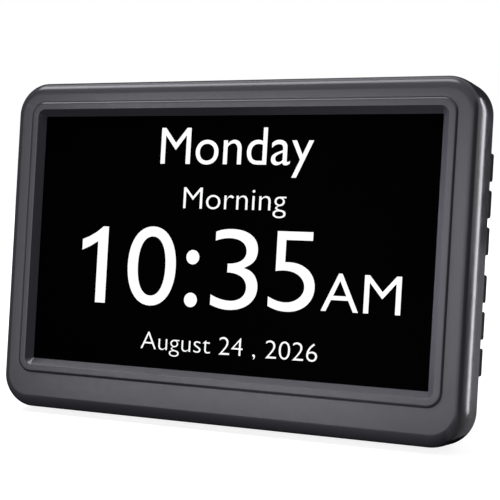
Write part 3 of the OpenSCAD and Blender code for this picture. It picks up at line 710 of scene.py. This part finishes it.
def softened(node, name, body, finish, slot, width):
    """Copy of a CAD node with its sharp edges broken, as a mould leaves them."""
    mesh = NODES[node].data.copy()
    bm = bmesh.new()
    bm.from_mesh(mesh)
    bmesh.ops.remove_doubles(bm, verts=bm.verts, dist=SAME_POINT)
    bmesh.ops.dissolve_limit(bm, angle_limit=SAME_PLANE, verts=bm.verts, edges=bm.edges)
    bm.to_mesh(mesh)
    bm.free()
    made = piece(name, mesh, body, finish, slot, node)
    bevel = made.modifiers.new("edges", "BEVEL")
    bevel.width = width
    bevel.segments = 2
    bevel.limit_method = "ANGLE"
    bevel.angle_limit = SHARP
    bevel.use_clamp_overlap = True
    even_normals(made)


# The last value is the width of the broken edges, in metres.
softened("rear_cover", "cover_shell", "case", "cover", "cover_plastic", 0.00018)
softened("kickstand", "leg_plate", "leg", "cover", "cover_plastic", 0.00025)
softened("kickstand_boot", "leg_boot", "leg", "rubber", "rubber", 0.00025)
softened("rubber_feet", "foot_pads", "case", "rubber", "rubber", 0.00025)


# ---------------------------------------------------------------- readout

# The writing stands this far in front of the glass.
WRITING_GAP = 0.03


def flat_piece(name, mesh):
    """Puts a mesh drawn in millimetres, x right and y up, on the screen's face."""
    face_place = Matrix.Translation((0, SCREEN_Y - WRITING_GAP, 0))
    mesh.transform(CASE @ face_place @ Matrix.Rotation(math.pi / 2, 4, "X"))
    piece(name, mesh, "case", "lit", "screen_glass")
    for face in mesh.polygons:
        face.use_smooth = False


def letters(text, thinned=0.0):
    """Mesh of a text in Blender's own font at size 1, its strokes thinned on each side."""
    curve = bpy.data.curves.new("letters", "FONT")
    curve.body = text
    curve.offset = -thinned
    curve.resolution_u = 12
    curve.extrude = 0.001
    holder = bpy.data.objects.new("letters", curve)
    SCENE.collection.objects.link(holder)
    shown = bpy.context.evaluated_depsgraph_get()
    mesh = bpy.data.meshes.new_from_object(holder.evaluated_get(shown))
    bpy.data.objects.remove(holder)
    bpy.data.curves.remove(curve)
    return mesh


def extent(mesh):
    """Lowest and highest x, then lowest and highest y."""
    xs = [v.co.x for v in mesh.vertices]
    ys = [v.co.y for v in mesh.vertices]
    return min(xs), max(xs), min(ys), max(ys)


# Height of a capital letter of the font.
CAP = extent(letters("H"))[3]


def line_mesh(text, left, right, base, cap, thinned):
    """Text from left to right on its baseline, with capitals of a height, in millimetres."""
    mesh = letters(text, thinned)
    low, high, _, _ = extent(mesh)
    wide = (right - left) / (high - low)
    mesh.transform(
        Matrix.Translation((left, base, 0))
        @ Matrix.Diagonal((wide, cap / (CAP - 2 * thinned), cap / CAP, 1))
        @ Matrix.Translation((-low, -thinned, 0))
    )
    return mesh


def outline_mesh(loops):
    """Flat shapes from closed outlines, with a thin edge."""
    half = WRITING_GAP / 2
    bm = bmesh.new()
    for points in loops:
        front = [bm.verts.new((x, y, half)) for x, y in points]
        rear = [bm.verts.new((x, y, -half)) for x, y in points]
        bm.faces.new(front)
        bm.faces.new(reversed(rear))
        for k in range(len(points)):
            bm.faces.new((front[k - 1], rear[k - 1], rear[k], front[k]))
    bmesh.ops.recalc_face_normals(bm, faces=bm.faces)
    mesh = bpy.data.meshes.new("outline")
    bm.to_mesh(mesh)
    bm.free()
    return mesh


def joined(meshes):
    """One mesh of several, which are then deleted."""
    bm = bmesh.new()
    for mesh in meshes:
        bm.from_mesh(mesh)
        bpy.data.meshes.remove(mesh)
    made = bpy.data.meshes.new("joined")
    bm.to_mesh(made)
    bm.free()
    return made


DOT_R = 2.55
DOT_STEPS = 40


def dot(x, y):
    """Outline of one of the colon's dots."""
    turns = [math.tau * i / DOT_STEPS for i in range(DOT_STEPS)]
    return [(x + DOT_R * math.cos(a), y + DOT_R * math.sin(a)) for a in turns]


COLON = [dot(-12.2, 58.4), dot(-12.2, 43.3)]
FLAGGED_ONE = [
    (-47.2, 40.4), (-47.2, 68.2), (-49.4, 68.2), (-52.0, 66.2), (-55.0, 64.5), (-58.0, 63.3),
    (-58.0, 59.4), (-54.6, 60.9), (-51.4, 62.8), (-51.4, 40.4),
]

# Writing: left, right, baseline and capital height in millimetres, and how far it is thinned.
DIGITS = (
    ("0", -38.4, -18.8, 40.8, 27.6, 0.003),
    ("3", -4.4, 13.4, 41.0, 27.4, 0.008),
    ("5", 17.6, 34.6, 41.6, 27.0, 0.008),
)
flat_piece("readout_day", line_mesh("Monday", -27.4, 31.4, 91.3, 12.8, 0.003))
flat_piece("readout_part", line_mesh("Morning", -17.2, 22.4, 75.6, 7.4, 0.011))
flat_piece(
    "readout_time",
    joined([outline_mesh([FLAGGED_ONE, *COLON])] + [line_mesh(*digit) for digit in DIGITS]),
)
flat_piece("readout_half", line_mesh("AM", 37.2, 65.2, 42.3, 12.7, 0.006))
flat_piece("readout_date", line_mesh("August 24 , 2026", -31.2, 36.9, 25.0, 6.0, 0.014))


# ---------------------------------------------------------------- stage and light

FLOOR_HALF = 6
FLOOR_PALE = 0.4
FLOOR_DARK = 0.05
FLOOR_GLOW = 0.85  # near the clock, and 1 far from it
GLOW_FROM = 0.13
GLOW_TO = 0.4
WORLD_LIGHT = 0.08
LAMP_COLOUR = (1.0, 0.99, 1.05)
# The lamps over the clock: their way to the left, the rest of their metre, a shift and width.
OVER_SIDE = -0.42
OVER_REACH = 0.907
OVER_SHIFT = 0.11
OVER_WIDE = 0.84
CARD_LIFT = 0.0004
CARD_EDGE = 0.086  # where the two cards on the table meet

# Middle of the clock, its right edge and the direction in which it leans.
CENTRE = (0, 0, 0.06)
RIGHT = (0.089, -0.0147, 0.066)
LEANING = (0, math.sin(LEAN), math.cos(LEAN))


def quad(name, corners):
    """Four-cornered stage piece, its object and its mesh."""
    mesh = bpy.data.meshes.new(name)
    mesh.from_pydata(corners, [], [(0, 1, 2, 3)])
    made = bpy.data.objects.new(name, mesh)
    SCENE.collection.objects.link(made)
    return made, mesh


def make_floor():
    """Pale table. Only rays that show it see it pale, so it throws little light back up."""
    h = FLOOR_HALF
    _, mesh = quad("floor", [(-h, -h, 0), (h, -h, 0), (h, h, 0), (-h, h, 0)])
    s = Shader("floor_white")
    pale = s.node("ShaderNodeBsdfDiffuse", {"Color": (FLOOR_PALE, FLOOR_PALE, FLOOR_PALE, 1)})
    reach = s.node("ShaderNodeVectorMath", {0: s.where}, operation="LENGTH").outputs["Value"]
    strength = s.spread(reach, FLOOR_GLOW, 1.0, GLOW_FROM, GLOW_TO)
    glow = s.node("ShaderNodeEmission", {"Color": (1, 1, 1, 1), "Strength": strength})
    lit = s.node("ShaderNodeAddShader", {0: pale.outputs[0], 1: glow.outputs[0]})
    dark = (FLOOR_DARK, FLOOR_DARK, FLOOR_DARK, 1)
    s.set(Base_Color=dark, Roughness=0.9, Specular_IOR_Level=0.0)
    either = s.node(
        "ShaderNodeMixShader", {0: s.showing_rays(), 1: s.main.outputs[0], 2: lit.outputs[0]}
    )
    s.feed(s.output.inputs["Surface"], either.outputs[0])
    mesh.materials.append(s.material)


def make_world():
    """White to the rays that show it, and faint to those that light the object."""
    world = bpy.data.worlds.new("studio")
    world.use_nodes = True
    SCENE.world = world
    tree = Nodes(world.node_tree)
    back = tree.nodes["Background"]
    tree.feed(back.inputs["Strength"], tree.spread(tree.showing_rays(), WORLD_LIGHT, 1.0, 0.0, 1.0))
    tree.feed(back.inputs["Color"], (1, 1, 1, 1))


def softbox(name, place, aim, width, height, radiance, along=(0, 0, 1), spread=180):
    """Rectangular lamp at a place, facing a point, its height side along a direction."""
    back = (Vector(place) - Vector(aim)).normalized()
    side = Vector(along).cross(back).normalized()
    data = bpy.data.lights.new(name, "AREA")
    data.shape = "RECTANGLE"
    data.size = width
    data.size_y = height
    data.energy = radiance * math.pi * width * height
    data.spread = math.radians(spread)
    data.color = LAMP_COLOUR
    light = bpy.data.objects.new(name, data)
    light.matrix_world = axes_at(side, back.cross(side), back, place)
    light.visible_camera = False
    SCENE.collection.objects.link(light)
    return light


def towards(azimuth, elevation, distance, start=CENTRE):
    """Point at a distance, its azimuth counted from the front towards the right."""
    a, e = math.radians(azimuth), math.radians(elevation)
    to = Vector((math.sin(a) * math.cos(e), -math.cos(a) * math.cos(e), math.sin(e)))
    return Vector(start) + to * distance


def over(angle, name, deep, radiance):
    """Lamp over the clock, where its top edge shows the lamp to the camera."""
    a = math.radians(angle)
    to = Vector((OVER_SIDE, -OVER_REACH * math.cos(a), OVER_REACH * math.sin(a)))
    place = Vector(CENTRE) + to
    place.x += OVER_SHIFT
    softbox(name, place, CENTRE, OVER_WIDE, deep, radiance, (0, math.sin(a), math.cos(a)))


def dark_card(name, corners, tone=0.004):
    """Dark card round the clock, which only its gloss sees, so its edges end dark."""
    card, mesh = quad(name, corners)
    card.visible_camera = False
    card.visible_diffuse = False
    card.visible_transmission = False
    card.visible_shadow = False
    s = Shader(name)
    s.set(Base_Color=(tone, tone, tone, 1), Roughness=1.0, Specular_IOR_Level=0.0)
    mesh.materials.append(s.material)


def wall(a, b, height):
    """Corners of an upright card from one place on the floor to another."""
    return [(*a, 0), (*b, 0), (*b, height), (*a, height)]


def flat(low, high):
    """Corners of a card that lies just over the floor."""
    return [(x, y, CARD_LIFT) for x, y in (low, (high[0], low[1]), high, (low[0], high[1]))]


make_floor()
make_world()

# Lamps: place, aim, width, height and radiance, or for the two over the clock their angle,
# depth and radiance. The gloss doesn't see the bevel's lamp or the one behind.
softbox("front_left", towards(-25.5, 8.5, 1.2), CENTRE, 0.44, 0.45, 4.4)
softbox("front", towards(-3, 8.5, 1.2), CENTRE, 0.5, 0.45, 2.3)
softbox("front_right", towards(28, 9, 1.2), CENTRE, 0.8, 0.48, 1.5)
bevel = softbox(
    "bevel", (-0.04, -0.056, 0.06), (0.079, -0.03, 0.06), 0.04, 0.09, 3.0, LEANING, spread=40
)
over(76, "over_front", 0.34, 9.6)
over(104, "over_back", 0.24, 2.0)
softbox("rim", towards(150, 0, 0.05, RIGHT), RIGHT, 0.0086, 0.128, 7.0, LEANING)
back = softbox("back", towards(190, 12, 1.2), CENTRE, 1.2, 0.6, 3.4)
for light in (bevel, back):
    light.visible_glossy = False

# Upright cards in front, at the left, behind and at the right, then two on the table.
dark_card("card_front", wall((-0.72, -0.75), (-0.75, -0.05), 0.85))
dark_card("card_left", wall((-0.75, -0.05), (-0.35, 0.7), 0.85))
dark_card("card_back", wall((-0.35, 0.7), (0.6, 0.7), 0.85))
dark_card("card_right", wall((0.75, 0.05), (0.4, -0.7), 0.5))
dark_card("card_table", flat((-0.6, -0.8), (CARD_EDGE, 0.5)))
dark_card("card_beside", flat((CARD_EDGE, -0.3), (0.7, 0.69)), tone=0.4)
